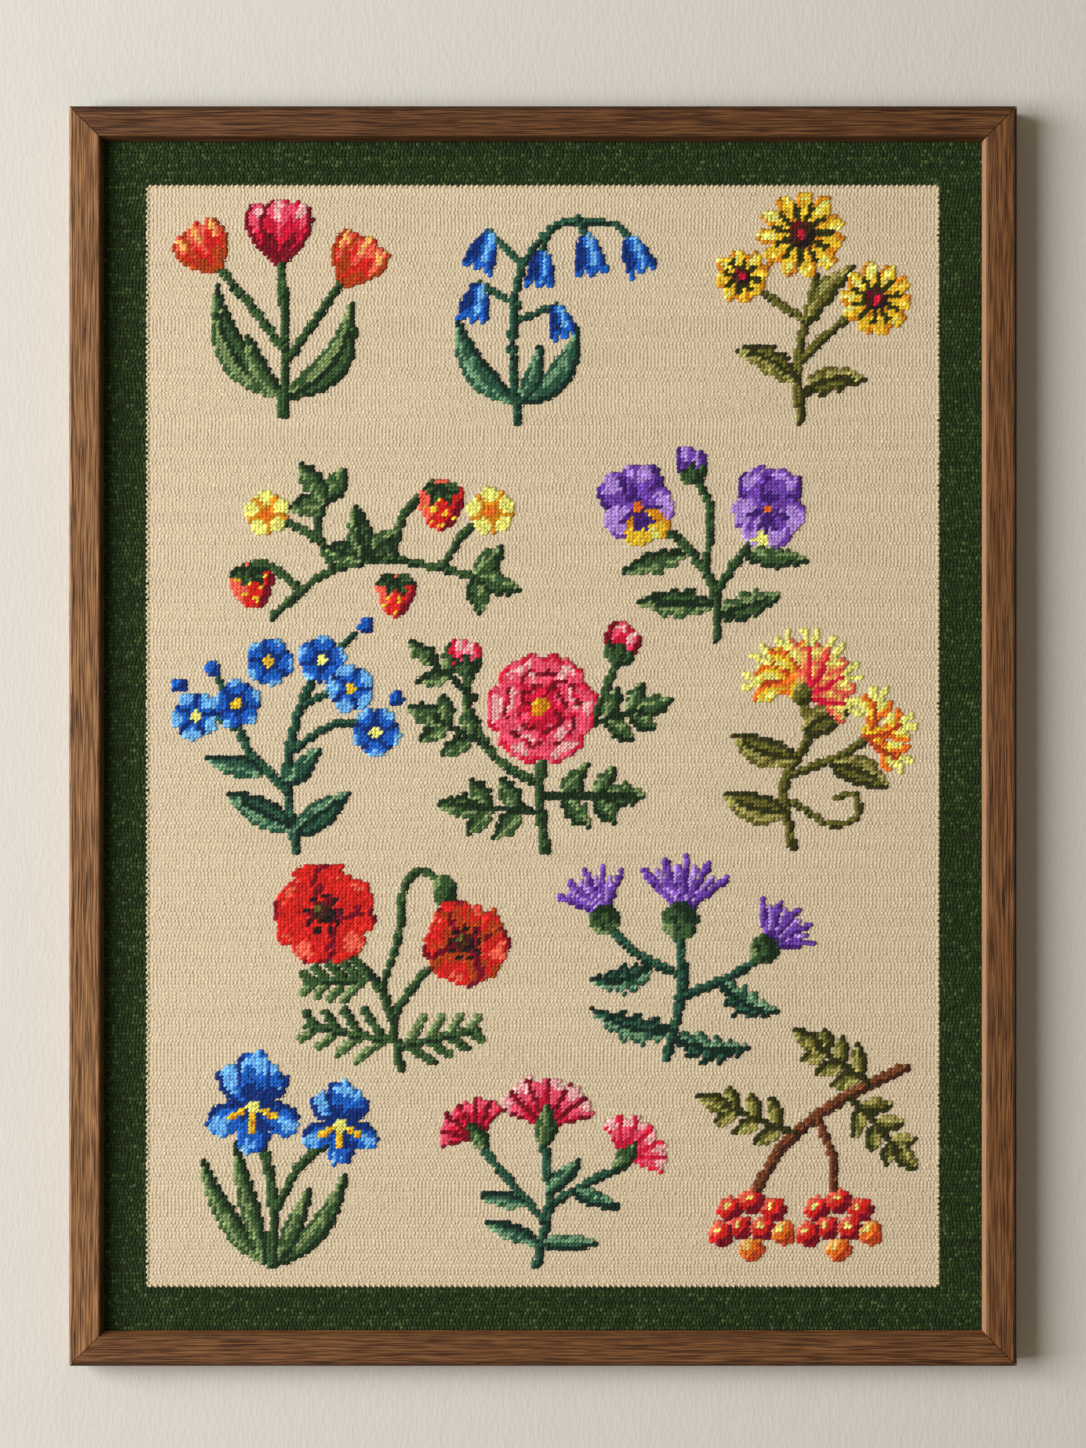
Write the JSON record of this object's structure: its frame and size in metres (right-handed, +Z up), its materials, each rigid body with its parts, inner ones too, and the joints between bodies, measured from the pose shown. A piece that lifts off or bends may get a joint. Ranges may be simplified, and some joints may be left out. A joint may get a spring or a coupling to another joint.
{
  "type": "framed needlepoint sampler",
  "caption": "Upright wool needlepoint of flower sprigs on a cream ground with a dark green border, stretched in a plain mitred wood frame that hangs flat on a wall.",
  "frame": {"origin": "middle of the top rail's back face, where the frame meets the wall", "axes": "+X to the right as one looks at the stitched face, +Y into the wall, +Z up; the stitched face looks along -Y"},
  "size_m": [0.44, 0.02, 0.5847],
  "materials": {
    "moulding": "medium brown stained open-grained wood with a dull wax sheen",
    "needlepoint": "wool stitches on cotton canvas: cream ground, dark green border, flower sprigs in many colours",
    "back_board": "plain matt hardboard"
  },
  "bodies": {
    "root": {"rail_top": "moulding", "rail_bottom": "moulding", "rail_left": "moulding", "rail_right": "moulding", "needlepoint": "needlepoint", "back_board": "back_board"}
  },
  "joints": []
}
